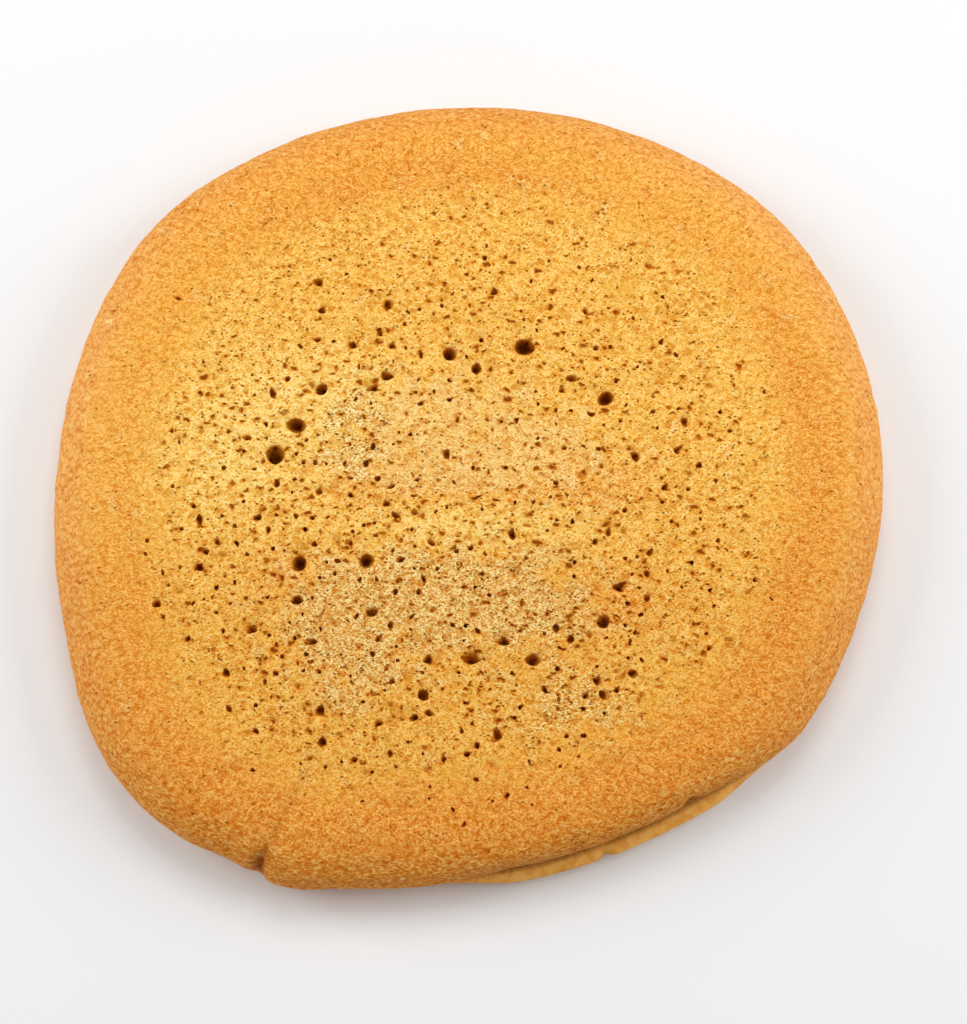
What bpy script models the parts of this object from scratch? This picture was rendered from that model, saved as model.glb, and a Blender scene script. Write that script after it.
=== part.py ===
"""One thick, spongy griddle pancake, about 17 cm across, lying with its open, holed side up.

The body is a grid bent to the pancake's outline, with its rim extruded ring by ring down to the
flat foot. Steam holes and the creases of the rim are cut from it by one Boolean. The origin is
under the middle, on the surface that the pancake lies on; +Y is the far side and +Z is up.
"""

import math
import random

import bmesh
import bpy
from mathutils import Matrix, Vector, noise

MM = 0.001

# The outline seen from above: its radius every 20 degrees, anticlockwise from +X.
OUTLINE_RADII = [
    r * MM
    for r in (
        85.4, 86.7, 87.4, 85.3, 83.7, 83.3, 84.8, 87.0, 85.4,
        84.8, 87.1, 92.7, 91.2, 84.1, 81.5, 81.6, 84.5, 84.2,
    )
]
PINCH_ANGLE = math.radians(243)  # where a crease draws the rim in on one side and out on the other
PINCH_SPREAD = math.radians(4.5)
PINCH_STEP = 1.0 * MM

# Heights, from the surface that the pancake lies on.
CENTRE_HEIGHT = 18.0 * MM
SHOULDER_HEIGHT = 16.0 * MM  # where the top turns over into the rim
WIDEST_HEIGHT = 7.5 * MM
SHOULDER_WIDTH = 13.0 * MM  # how far inside the outline the rim begins to turn over
FOOT_WIDTH = 4.5 * MM  # how far the rim tucks in under its widest line
UNEVENNESS = 0.55 * MM  # how far the top rises and falls
UNEVEN_LENGTH = 27.0 * MM

# The thin skirt that stands out at the foot, under the overhanging rim, on the near right.
SKIRT_MIDDLE = math.radians(292)
SKIRT_HALF_ARC = math.radians(31)
SKIRT_FADE = math.radians(17)
SKIRT_REACH = 2.3 * MM  # how far the skirt stands out past the rim above it
SKIRT_HEIGHT = 2.6 * MM
SKIRT_SPREAD = 2.2 * MM
GROOVE_DEPTH = 2.0 * MM
GROOVE_HEIGHT = 6.2 * MM
GROOVE_SPREAD = 1.1 * MM

# How finely the solid is divided.
TOP_CELLS = 22  # along each side of the grid; the rim has four times as many columns
RIM_HEIGHTS = [  # of the rings under the shoulder, down to the foot
    h * MM for h in (15.6, 14.6, 12.9, 10.7, 8.8, 7.4, 6.2, 4.9, 3.4, 1.6, 0.0)
]

# Steam holes: the widest are placed by hand, as (x, y, width of the mouth, length over width, turn).
LARGE_HOLES = (
    (-39.2, 3.3, 4.4, 1.05, 40), (11.2, 26.1, 4.3, 1.15, 170), (-34.1, -19.4, 3.6, 1.10, 60),
    (27.6, 15.1, 3.5, 1.25, 25), (-35.2, 9.4, 3.6, 1.35, 170), (-20.5, -19.0, 3.3, 1.20, 30),
    (-4.0, 24.7, 3.3, 1.05, 0), (0.7, -38.8, 2.7, 1.60, 5), (12.8, -39.0, 2.8, 1.35, 5),
    (26.7, -31.3, 2.9, 1.20, 50), (1.5, 21.6, 2.7, 1.05, 0), (-30.3, 17.1, 2.9, 1.15, 20),
    (-16.8, 35.4, 2.4, 1.50, 175), (-29.2, -49.1, 2.5, 1.35, 65), (5.4, -53.9, 2.3, 1.50, 85),
    (-9.0, -46.2, 2.5, 1.05, 0), (-34.4, -26.9, 2.5, 1.25, 10), (6.8, -35.2, 2.5, 1.30, 15),
    (-24.1, 26.7, 2.3, 1.35, 165), (-16.7, 20.1, 2.5, 1.30, 150), (-19.4, -29.4, 2.3, 1.30, 10),
    (-42.7, -9.9, 2.1, 1.15, 20), (-62.3, -27.5, 2.1, 1.20, 0), (33.5, 3.0, 2.2, 1.40, 110),
    (-8.0, -39.0, 2.3, 1.20, 0), (30.2, -24.3, 1.9, 1.80, 0), (-43.2, -32.6, 2.3, 1.30, 10),
    (-19.5, 17.4, 2.2, 1.30, 15), (-54.4, -10.4, 2.0, 1.50, 100), (-30.4, 34.3, 2.0, 1.30, 0),
    (-28.8, -55.5, 2.2, 1.25, 60), (-38.9, -2.6, 2.1, 1.10, 120), (-53.9, -20.0, 1.9, 1.30, 5),
    (43.6, 10.5, 1.9, 1.20, 90), (21.1, 19.3, 1.7, 1.90, 175), (39.6, -3.6, 2.0, 1.10, 0),
)

# The rest are spread by a rule, the widest first.
HOLE_SEED = 11
HOLE_COUNT = 168  # with those placed by hand
HOLE_WIDEST = 4.2 * MM
HOLE_RANK_SCALE = 5.0  # widths fall off with a hole's place in the order of size
HOLE_RANK_POWER = 0.322
HOLE_GAP = 0.9 * MM  # left standing between two holes
HOLES_MIDDLE = (-5.0 * MM, -11.0 * MM)
HOLES_INNER = 42.0 * MM  # they lie thick out to here from their middle, and then thin out
HOLES_OUTER = 67.0 * MM
HOLES_TREND = math.radians(215)  # the way in which they lie thicker
CLOSED_MIDDLE = (7.0 * MM, 9.0 * MM)  # a patch of the crumb in which no wide hole opened
CLOSED_RADIUS = 19.0 * MM
NARROW = 1.2 * MM  # holes up to this width open there too
HOLE_DEPTH = 1.25  # of the mouth's width
FINE_SIDES_FROM = 2.2 * MM  # a hole this wide gets the finer cutter

# Creases where the rim is pinched: (angle, height, width, length, reach inwards).
CREASES = (
    (242.6, 8.6, 2.6, 10.0, 2.4),
    (304.0, 7.2, 2.4, 3.6, 2.2),
    (290.0, 2.6, 2.4, 3.6, 1.5),
)

COLOUR = (0.80, 0.46, 0.11, 1.0)
ROUGHNESS = 0.62


def clear_scene():
    for obj in list(bpy.data.objects):
        bpy.data.objects.remove(obj)


def smooth(low, high, value):
    """0 below low, 1 above high, and an even S between them."""
    t = min(1.0, max(0.0, (value - low) / (high - low)))
    return t * t * (3.0 - 2.0 * t)


def bump(value, middle, spread):
    return math.exp(-(((value - middle) / spread) ** 2))


def outline_radius(angle):
    """The radius of the outline at an angle, on a smooth closed curve through its radii."""
    count = len(OUTLINE_RADII)
    place = (angle / math.tau) % 1.0 * count
    first = int(place)
    t = place - first
    a, b, c, d = (OUTLINE_RADII[(first + k) % count] for k in (-1, 0, 1, 2))
    off = ((angle - PINCH_ANGLE + math.pi) % math.tau - math.pi) / PINCH_SPREAD
    pinch = PINCH_STEP * off * math.exp(0.5 - 0.5 * off * off)
    return pinch + 0.5 * (
        2 * b + (c - a) * t + (2 * a - 5 * b + 4 * c - d) * t * t + (3 * b - 3 * c + d - a) * t**3
    )


def skirt(angle):
    """How much of the skirt and of the groove over it there is at an angle, from 0 to 1."""
    off = abs((angle - SKIRT_MIDDLE + math.pi) % math.tau - math.pi)
    return 1.0 - smooth(SKIRT_HALF_ARC - SKIRT_FADE, SKIRT_HALF_ARC, off)


def rim_radius(angle, height):
    """The radius of the rim at an angle and a height, from the shoulder down to the foot."""
    drawn_in = SKIRT_REACH * (1.0 - smooth(WIDEST_HEIGHT, SHOULDER_HEIGHT, height))
    outer = outline_radius(angle) - drawn_in * skirt(angle)
    if height > WIDEST_HEIGHT:
        rise = (height - WIDEST_HEIGHT) / (SHOULDER_HEIGHT - WIDEST_HEIGHT)
        inset = SHOULDER_WIDTH * (1.0 - math.sqrt(max(0.0, 1.0 - min(1.0, rise) ** 2)))
    else:
        fall = 1.0 - height / WIDEST_HEIGHT
        inset = FOOT_WIDTH * (1.0 - math.sqrt(1.0 - fall**2))
    lip = (SKIRT_REACH + inset) * bump(height, SKIRT_HEIGHT, SKIRT_SPREAD)
    groove = GROOVE_DEPTH * bump(height, GROOVE_HEIGHT, GROOVE_SPREAD)
    return outer - inset + skirt(angle) * (lip - groove)


def top_height(x, y):
    """The height of the top at a place, holes apart."""
    reach = math.hypot(x, y) / (outline_radius(math.atan2(y, x)) - SHOULDER_WIDTH)
    dome = SHOULDER_HEIGHT + (CENTRE_HEIGHT - SHOULDER_HEIGHT) * (1.0 - min(1.0, reach) ** 2)
    wave = noise.noise(Vector((x / UNEVEN_LENGTH, y / UNEVEN_LENGTH, 0.0)))
    return dome + UNEVENNESS * wave * (1.0 - smooth(0.75, 1.0, reach))


def square_to_disc(u, v):
    """The angle and the share of the radius that a point of a square from -1 to 1 takes."""
    if u == 0.0 and v == 0.0:
        return 0.0, 0.0
    if abs(u) > abs(v):
        return math.pi / 4 * (v / u) + (math.pi if u < 0 else 0.0), abs(u)
    return math.pi / 2 - math.pi / 4 * (u / v) + (math.pi if v < 0 else 0.0), abs(v)


def add_body_mesh():
    """The pancake without its holes: a grid bent to the outline, and a rim of extruded rings."""
    mesh = bpy.data.meshes.new("pancake")
    shape = bmesh.new()
    bmesh.ops.create_grid(shape, x_segments=TOP_CELLS, y_segments=TOP_CELLS, size=1.0)
    for vert in shape.verts:
        angle, share = square_to_disc(vert.co.x, vert.co.y)
        reach = share * (outline_radius(angle) - SHOULDER_WIDTH)
        x, y = reach * math.cos(angle), reach * math.sin(angle)
        vert.co = (x, y, top_height(x, y))
    edges = [edge for edge in shape.edges if edge.is_boundary]
    for height in RIM_HEIGHTS:
        made = bmesh.ops.extrude_edge_only(shape, edges=edges)["geom"]
        for vert in (item for item in made if isinstance(item, bmesh.types.BMVert)):
            angle = math.atan2(vert.co.y, vert.co.x)
            reach = rim_radius(angle, height)
            vert.co = (reach * math.cos(angle), reach * math.sin(angle), height)
        edges = [item for item in made if isinstance(item, bmesh.types.BMEdge) and item.is_boundary]
    bmesh.ops.contextual_create(shape, geom=edges)
    centre = [
        (min(v.co[k] for v in shape.verts) + max(v.co[k] for v in shape.verts)) / 2 for k in (0, 1)
    ]
    bmesh.ops.translate(shape, verts=shape.verts, vec=(-centre[0], -centre[1], 0.0))
    bmesh.ops.recalc_face_normals(shape, faces=shape.faces)
    shape.to_mesh(mesh)
    shape.free()
    return mesh


def hole_share(x, y, width):
    """How likely a hole of a width is to open at a place."""
    across, along = x - HOLES_MIDDLE[0], y - HOLES_MIDDLE[1]
    field = 1.0 - smooth(HOLES_INNER, HOLES_OUTER, math.hypot(across, along))
    field *= 0.74 + 0.26 * math.cos(math.atan2(along, across) - HOLES_TREND)
    if width > NARROW:
        off = math.hypot(x - CLOSED_MIDDLE[0], y - CLOSED_MIDDLE[1])
        field *= smooth(0.5 * CLOSED_RADIUS, 1.1 * CLOSED_RADIUS, off)
    edge = math.hypot(x, y) / outline_radius(math.atan2(y, x))
    return field + 0.01 * (1.0 - smooth(0.88, 0.92, edge))


def steam_holes(count):
    """(x, y, width of the mouth, length over width, turn) of each hole, the widest first."""
    draw = random.Random(HOLE_SEED)
    holes = [
        (x * MM, y * MM, width * MM, stretch, math.radians(turn))
        for x, y, width, stretch, turn in LARGE_HOLES
    ]
    while len(holes) < count:
        width = HOLE_WIDEST / (1.0 + len(holes) / HOLE_RANK_SCALE) ** HOLE_RANK_POWER
        x, y = draw.uniform(-HOLES_OUTER, HOLES_OUTER), draw.uniform(-HOLES_OUTER, HOLES_OUTER)
        x, y = x + HOLES_MIDDLE[0], y + HOLES_MIDDLE[1]
        if draw.random() > hole_share(x, y, width):
            continue
        if any(
            math.hypot(x - hole[0], y - hole[1]) < (width + hole[2] * hole[3]) / 2 + HOLE_GAP
            for hole in holes
        ):
            continue
        holes.append((x, y, width, draw.uniform(1.0, 1.5), draw.uniform(0.0, math.pi)))
    return holes


def cut_hole(shape, x, y, width, stretch, turn):
    """Adds the cutter of one steam hole: a bubble that is widest at the top or just under it."""
    sides, rings = (8, 6) if width > FINE_SIDES_FROM else (6, 4)
    depth = HOLE_DEPTH * width
    place = Matrix.Translation((x, y, top_height(x, y) - 0.1 * depth))
    spin = Matrix.Rotation(turn, 4, "Z")
    size = Matrix.Diagonal((0.5 * width * stretch, 0.5 * width, 0.9 * depth, 1.0))
    bmesh.ops.create_uvsphere(
        shape, u_segments=sides, v_segments=rings, radius=1.0, matrix=place @ spin @ size
    )


def cut_crease(shape, degrees, height, width, length, reach):
    """Adds the cutter of one crease: a thin upright lens set into the rim."""
    angle = math.radians(degrees)
    radius = rim_radius(angle, height * MM)
    place = Matrix.Translation((radius * math.cos(angle), radius * math.sin(angle), height * MM))
    spin = Matrix.Rotation(angle, 4, "Z")
    size = Matrix.Diagonal((reach * MM, width / 2 * MM, length / 2 * MM, 1.0))
    bmesh.ops.create_uvsphere(
        shape, u_segments=10, v_segments=8, radius=1.0, matrix=place @ spin @ size
    )


def add_cutters(collection):
    """One hidden mesh of every steam hole and every crease."""
    shape = bmesh.new()
    for hole in steam_holes(HOLE_COUNT):
        cut_hole(shape, *hole)
    for crease in CREASES:
        cut_crease(shape, *crease)
    mesh = bpy.data.meshes.new("holes_and_creases")
    shape.to_mesh(mesh)
    shape.free()
    cutter = bpy.data.objects.new("holes_and_creases", mesh)
    cutter.hide_render = True
    cutter.display_type = "WIRE"
    collection.objects.link(cutter)
    return cutter


def add_material():
    material = bpy.data.materials.new("pancake_crust")
    material.use_nodes = True
    shader = material.node_tree.nodes["Principled BSDF"]
    shader.inputs["Base Color"].default_value = COLOUR
    shader.inputs["Roughness"].default_value = ROUGHNESS
    shader.inputs["Metallic"].default_value = 0.0
    return material


def main():
    clear_scene()
    parts = bpy.data.collections.new("pancake")
    cutters = bpy.data.collections.new("cutters")
    for collection in (parts, cutters):
        bpy.context.scene.collection.children.link(collection)
    body = bpy.data.objects.new("pancake", add_body_mesh())
    body.data.materials.append(add_material())
    parts.objects.link(body)
    cut = body.modifiers.new("holes and creases", "BOOLEAN")
    cut.operation = "DIFFERENCE"
    cut.solver = "EXACT"
    cut.object = add_cutters(cutters)
    body.data.shade_smooth()
    body.data.set_sharp_from_angle(angle=math.radians(40))


main()
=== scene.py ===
"""A thick, spongy griddle pancake, about 17 cm across, lying with its open, holed side up.

The file is laid out as an add-on: the sidebar of the 3D view lists the pancake's sizes, its
colours and its operators. Run as a script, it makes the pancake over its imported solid, with a
stage and a camera. Lengths are in metres, +Y is the far side and +Z is up.
"""

import math
import random

import bmesh
import bpy
from mathutils import Matrix, Vector, kdtree, noise


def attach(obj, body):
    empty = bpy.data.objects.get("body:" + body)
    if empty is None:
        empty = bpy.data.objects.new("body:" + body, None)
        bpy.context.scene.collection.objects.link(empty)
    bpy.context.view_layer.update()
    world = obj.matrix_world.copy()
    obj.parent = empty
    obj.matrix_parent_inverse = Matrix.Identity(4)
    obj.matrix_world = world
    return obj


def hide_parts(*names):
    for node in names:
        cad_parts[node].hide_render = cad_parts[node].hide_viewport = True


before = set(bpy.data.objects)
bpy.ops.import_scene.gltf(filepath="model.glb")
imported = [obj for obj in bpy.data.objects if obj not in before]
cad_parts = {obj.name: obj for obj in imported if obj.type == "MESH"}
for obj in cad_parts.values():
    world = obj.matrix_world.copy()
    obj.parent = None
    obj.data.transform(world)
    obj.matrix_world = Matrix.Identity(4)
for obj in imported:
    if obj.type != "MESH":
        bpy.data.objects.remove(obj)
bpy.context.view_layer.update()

bl_info = {
    "name": "Griddle pancake",
    "version": (1, 0, 0),
    "blender": (4, 5, 0),
    "location": "View3D > Sidebar > Pancake",
    "description": "Makes a thick, spongy griddle pancake and a plain stage for it",
    "category": "Add Mesh",
}

MM = 0.001

# The outline seen from above: its radius every 20 degrees, anticlockwise from +X, measured off the
# photo's outline. Another program measured the photo's outline for these, and compared the model's
# with it.
OUTLINE_RADII = [
    r * MM
    for r in (
        85.4, 86.7, 87.4, 85.3, 83.7, 83.3, 84.8, 87.0, 85.4,
        84.8, 87.1, 92.7, 91.2, 84.1, 81.5, 81.6, 84.5, 84.2,
    )
]
PINCH_ANGLE = math.radians(243)  # where a crease draws the rim in on one side and out on the other
PINCH_SPREAD = math.radians(4.5)
PINCH_STEP = 1.0 * MM

UNEVEN_LENGTH = 27.0 * MM
UNEVEN_FADE = (0.75, 1.0)  # shares of the way to the shoulder over which the top evens out
ARC_SHARE = 0.79  # how long a quarter of an ellipse is, of the sum of its two half axes

# The thin skirt that stands out at the foot, under the overhanging rim, on the near right.
SKIRT_MIDDLE = math.radians(292)
SKIRT_HALF_ARC = math.radians(31)
SKIRT_FADE = math.radians(17)
SKIRT_HEIGHT = 2.6 * MM
SKIRT_SPREAD = 2.2 * MM
GROOVE_HEIGHT = 6.2 * MM
GROOVE_SPREAD = 1.1 * MM
GROOVE_BREAKS = ((289.5, 2.0, 0.45), (303.0, 2.5, 0.3))  # (angle, half width, share of it lost)
# Painted shade in the groove over the skirt, where the rim overhangs it.
GROOVE_SHADES = ((0.65, 7.2 * MM, 8.4 * MM), (0.35, 8.0 * MM, 13.0 * MM))  # (how dark, from, to)
GROOVE_LOW = (4.4 * MM, 5.0 * MM)  # the heights under which the skirt is clear of that shade
SKIRT_FINISH_TOP = (4.6 * MM, 5.6 * MM)
SKIRT_RELIEF_TOP = (4.5 * MM, 6.0 * MM)
SKIRT_RELIEF_LOST = 0.7

# Steam holes: the widest, in millimetres and degrees, as (x, y, width of the mouth, length over
# width, turn). Another program found their places in the photo, and how large their dark middles
# are, which the mouths' widths follow. The turns were added one by one.
LARGE_HOLES = (
    (-39.2, 3.3, 4.4, 1.05, 40), (11.2, 26.1, 4.3, 1.15, 170), (-34.1, -19.4, 3.6, 1.10, 60),
    (27.6, 15.1, 3.5, 1.25, 25), (-35.2, 9.4, 3.6, 1.35, 170), (-20.5, -19.0, 3.3, 1.20, 30),
    (-4.0, 24.7, 3.3, 1.05, 0), (0.7, -38.8, 2.7, 1.60, 5), (12.8, -39.0, 2.8, 1.35, 5),
    (26.7, -31.3, 2.9, 1.20, 50), (1.5, 21.6, 2.7, 1.05, 0), (-30.3, 17.1, 2.9, 1.15, 20),
    (-16.8, 35.4, 2.4, 1.50, 175), (-29.2, -49.1, 2.5, 1.35, 65), (5.4, -53.9, 2.3, 1.50, 85),
    (-9.0, -46.2, 2.5, 1.05, 0), (-34.4, -26.9, 2.5, 1.25, 10), (6.8, -35.2, 2.5, 1.30, 15),
    (-24.1, 26.7, 2.3, 1.35, 165), (-16.7, 20.1, 2.5, 1.30, 150), (-19.4, -29.4, 2.3, 1.30, 10),
    (-42.7, -9.9, 2.1, 1.15, 20), (-62.3, -27.5, 2.1, 1.20, 0), (33.5, 3.0, 2.2, 1.40, 110),
    (-8.0, -39.0, 2.3, 1.20, 0), (30.2, -24.3, 1.9, 1.80, 0), (-43.2, -32.6, 2.3, 1.30, 10),
    (-19.5, 17.4, 2.2, 1.30, 15), (-54.4, -10.4, 2.0, 1.50, 100), (-30.4, 34.3, 2.0, 1.30, 0),
    (-28.8, -55.5, 2.2, 1.25, 60), (-38.9, -2.6, 2.1, 1.10, 120), (-53.9, -20.0, 1.9, 1.30, 5),
    (43.6, 10.5, 1.9, 1.20, 90), (21.1, 19.3, 1.7, 1.90, 175), (39.6, -3.6, 2.0, 1.10, 0),
)
# Small ones that line the furrow across the middle, placed after the first that the rule spreads.
# Their pixels were picked by eye in the photo, and another program turned them into millimetres.
FURROW_FROM = 168
FURROW_HOLES = (
    (-24.1, -1.7, 1.2, 1.50, 160), (-18.5, -1.9, 1.4, 1.20, 60), (-15.9, -3.6, 1.3, 2.00, 15),
    (-23.7, -5.4, 1.2, 1.30, 0), (-11.0, -5.4, 0.8, 2.60, 5), (-1.7, -6.7, 0.9, 1.60, 80),
    (1.6, -5.9, 0.8, 2.80, 25), (5.4, -6.5, 0.8, 2.40, 170), (9.2, -7.0, 1.0, 1.60, 60),
    (13.0, -6.9, 1.1, 1.30, 40), (11.7, -12.3, 0.8, 2.60, 100), (15.6, -12.9, 1.0, 1.20, 0),
    (-11.5, -12.5, 1.0, 1.20, 30), (25.2, -15.0, 1.5, 1.20, 30), (27.9, -12.9, 1.4, 1.70, 85),
    (31.7, -9.6, 1.5, 1.40, 40), (33.4, 2.2, 1.3, 1.90, 65), (19.6, -5.4, 0.8, 1.80, 120),
)
HOLE_WIDEST = 4.2 * MM
HOLE_RANK_SCALE = 5.0  # widths fall off with a hole's place in the order of size
HOLE_RANK_POWER = 0.322
HOLE_GAP = 0.9 * MM  # left standing between two holes
HOLES_MIDDLE = (-5.0 * MM, -11.0 * MM)
HOLES_INNER = 42.0 * MM  # they lie thick out to here from their middle, and then thin out
HOLES_OUTER = 67.0 * MM
HOLES_TREND = math.radians(215)  # the way in which they lie thicker
HOLES_EVEN = 0.74  # how thick they lie square to the trend
HOLES_LEAN = 0.26  # how much thicker along it, and thinner against it
CLOSED_MIDDLE = (7.0 * MM, 9.0 * MM)  # a patch of the crumb in which no wide hole opened
CLOSED_RADIUS = 19.0 * MM
CLOSED_EDGE = (0.5, 1.1)  # shares of that radius over which the patch ends
NARROW = 1.2 * MM  # holes up to this width open there too
SMALL = 1.3 * MM  # and up to this width more of them lie far out
FAR_SMALL = (0.02, 0.76, 0.86)  # how likely far out, and the shares of the outline where they end
FAR_WIDE = (0.01, 0.88, 0.92)
SHALLOW_SHARE = 0.45  # of the holes that the rule spreads
SHALLOW_DEPTH = 0.4  # of a deep one's
# A hole's turn, times one of these, gives another number of its own with no further draw.
SHALLOW_TURNS = 17.0
BUBBLE_TURNS = 9.0
FUNNEL_TURNS = 7.0
CRUMB_FROM = -21.0 * MM  # the crumb begins to close this far inside the shoulder
CRUMB_TO = 0.0 * MM

# Creases where the rim is pinched, in degrees and millimetres: (angle, height, width, length,
# reach inwards).
CREASES = (
    (242.6, 9.5, 1.4, 5.0, 1.6),
    (304.0, 8.8, 1.2, 2.0, 2.4),
    (290.0, 2.6, 1.0, 2.0, 0.9),
)
# Creases get painted shade too.
CREASE_DARK = 1.5 * MM  # the depth at which a crease is as dark as the groove
CREASE_END = 3.0  # a crease isn't felt this many of its widths off

# The relief's lumps and wrinkles: (length in millimetres, share of the relief's height).
LUMPS = ((6.0, 0.45), (2.6, 0.45))
FINE_LUMPS = ((1.3, 0.4),)
WRINKLES = ((3.2, 0.35), (1.5, 0.3))
WRINKLE_RADIUS = 38.0  # millimetres, under half the rim's, so that they are drawn out along it
RIM_BEGINS = (-5.0 * MM, 7.0 * MM)  # where lumps give way to wrinkles, past the shoulder
RIM_LUMPS = 0.4  # how high the lumps still are there
RELIEF_FROM = 0.3 * MM  # the height up to which the foot stays flat
RELIEF_FULL = 2.5 * MM

PATCH_KINDS = ("pale", "bright", "toast_and_shade", "speckled")
ZONES = ("rim", "field", "near_half_shade", "under", "skirt", "groove")
# Patches of the crumb that stand out, in millimetres: (finish, x, y, half width, half depth).
PATCHES = (
    ("speckled", -12.0, -24.0, 24.0, 9.0), ("speckled", 8.0, -28.0, 18.0, 9.0),
    ("speckled", -22.0, -38.0, 14.0, 12.0), ("speckled", 20.0, -48.0, 14.0, 8.0),
    ("speckled", -24.0, 8.0, 8.0, 12.0),
    ("pale", -5.0, 12.0, 24.0, 11.0), ("pale", 12.0, 2.0, 20.0, 7.0),
    ("pale", -12.0, 0.5, 15.0, 5.0), ("pale", -12.0, -24.0, 24.0, 9.0),
    ("pale", 8.0, -28.0, 18.0, 9.0), ("pale", -22.0, -38.0, 14.0, 12.0),
    ("bright", -46.0, 4.0, 17.0, 17.0), ("bright", 2.0, -11.5, 22.0, 4.5),
    ("bright", -30.0, 16.0, 14.0, 9.0),
    ("toast_and_shade", 3.0, -5.5, 24.0, 3.2), ("toast_and_shade", -24.0, -3.0, 9.0, 4.0),
    ("toast_and_shade", 30.0, -3.0, 12.0, 6.0), ("toast_and_shade", 30.0, -28.0, 10.0, 6.0),
    ("toast_and_shade", -36.0, -22.0, 10.0, 6.0),
)

# How finely the pancake is divided.
TOP_CELLS = 168  # along each side of the grid; the rim has four times as many columns
UPPER_RINGS = 21  # of the rim, from the shoulder to its widest line
LOWER_RINGS = 15  # from there to the foot
UNDER_SHARES = (0.985, 0.95, 0.86, 0.6, 0.3)  # where the rings of the underside lie

# The bubble that opens each hole: (narrowest hole it is for, sides, rings, how far out of true).
BUBBLE_KINDS = ((2.8 * MM, 18, 12, 0.15), (1.25 * MM, 12, 8, 0.55), (0.0, 8, 5, 0.7))
BUBBLE_TAPER = 0.5  # how much narrower a bubble is at its bottom
BUBBLE_LEAN = 0.3
BUBBLE_LUMPS = 0.9  # how close the lumps that put it out of true lie
BUBBLE_LIFT = 0.3  # how much of that is up or down
BUBBLE_APART = 3.7  # so that no two bubbles have the same lumps
BUBBLE_SEED = 1  # of the lumps, which would otherwise be others on each run
BUBBLE_HALF_WIDTH = 0.46  # in widths of the mouth
BUBBLE_HALF_DEPTH = 0.9  # in depths of the hole
BUBBLE_SINK = 0.1  # how far under the top its middle lies, in the same

# Holes this wide lie in a shallow funnel. Its depth, middle, spread and lean are in widths.
FUNNEL_FROM = 1.5 * MM
FUNNEL_DEPTH = 0.2
FUNNEL_MIDDLE = 0.2  # how far from its own middle it is deepest
FUNNEL_SPREAD = 0.5
FUNNEL_LEAN = 0.22  # how far its middle lies to one side of the hole's
FUNNEL_REACH = 7.0 * MM  # beyond this no funnel is felt
# Most of a funnel's depth gets no painted shade.
FUNNEL_UNSHADED = 0.9  # of its depth, which doesn't count as depth in the finish

SOFT_FROM = 1.2 * MM  # holes this wide have rounded lips
LIP_DROP = 3.0 * MM  # how far under the shoulder lips are still looked for
LIP_REACH = 3.5 * MM  # and how far from the middle of their hole
LIP_BAND = 0.28  # how far a lip goes on either side of the mouth's edge, in widths
LIP_PASSES = 3

# Where the toasted ring round the top is browner: (angle, half width, how much more).
RING_ARCS = ((0.0, 30.0, 0.6), (105.0, 25.0, 0.5), (180.0, 20.0, 0.2))
RING_EVEN = 0.6  # how brown it is elsewhere
FAR_SHADE_LEFT = 0.26  # radians to the left of the far side, where the rim gets painted shade too

# Where the finishes begin and end: past the shoulder, along +Y, and in height.
RIM_FINISH = (-2.0 * MM, 10.0 * MM)
# Painted shade: the near half is darker and browner, fading out along +Y up to here.
NEAR_SHADE_FINISH = (-30.0 * MM, 0.0)
UNDER_FINISH_TOP = 2.2 * MM
UNDER_FACE_TOP = 0.2 * MM
PATCH_TOAST = 0.6  # how brown the toasted patches are, of the ring

# Lengths in the finish, in millimetres over the skin.
PATCH_LENGTH = 5.0
STIR_LENGTH = 1.3
MOTTLE_LENGTH = 1.1
GRAIN_LENGTH = 0.45
FINE_LENGTH = 0.42
FOLD_LENGTH = 0.36
PIT_LENGTH = 0.75
PORE_LENGTH = 1.7
BLOTCH_LENGTH = 2.2 * MM  # this one in metres
GRAIN_STRETCH = (0.85, 1.18, 1.0)
GRAIN_TURN = math.radians(33)  # so that the grain lines up with no axis

# The camera, 75 degrees above the table on the near side, and the place that it looks at.
CAMERA_RISE = math.radians(75)
CAMERA_DISTANCE = 0.5
CAMERA_LENS = 85.6  # millimetres, on a 36 mm frame
CAMERA_AIM = Vector((0.00287, 0.0, 0.009))
CAMERA_DROP = 6.37 * MM  # down its own frame, so that the pancake stands above the middle

# The stage: (place, width) of the light over the far side, and of the one on the right, which
# has its mirror image on the left.
FAR_LIGHT = ((0.05, 0.34, 0.62), 0.35)
SIDE_LIGHT = ((0.7, 0.15, 0.45), 0.5)
FLOOR_WIDTH = 6.0


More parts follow.
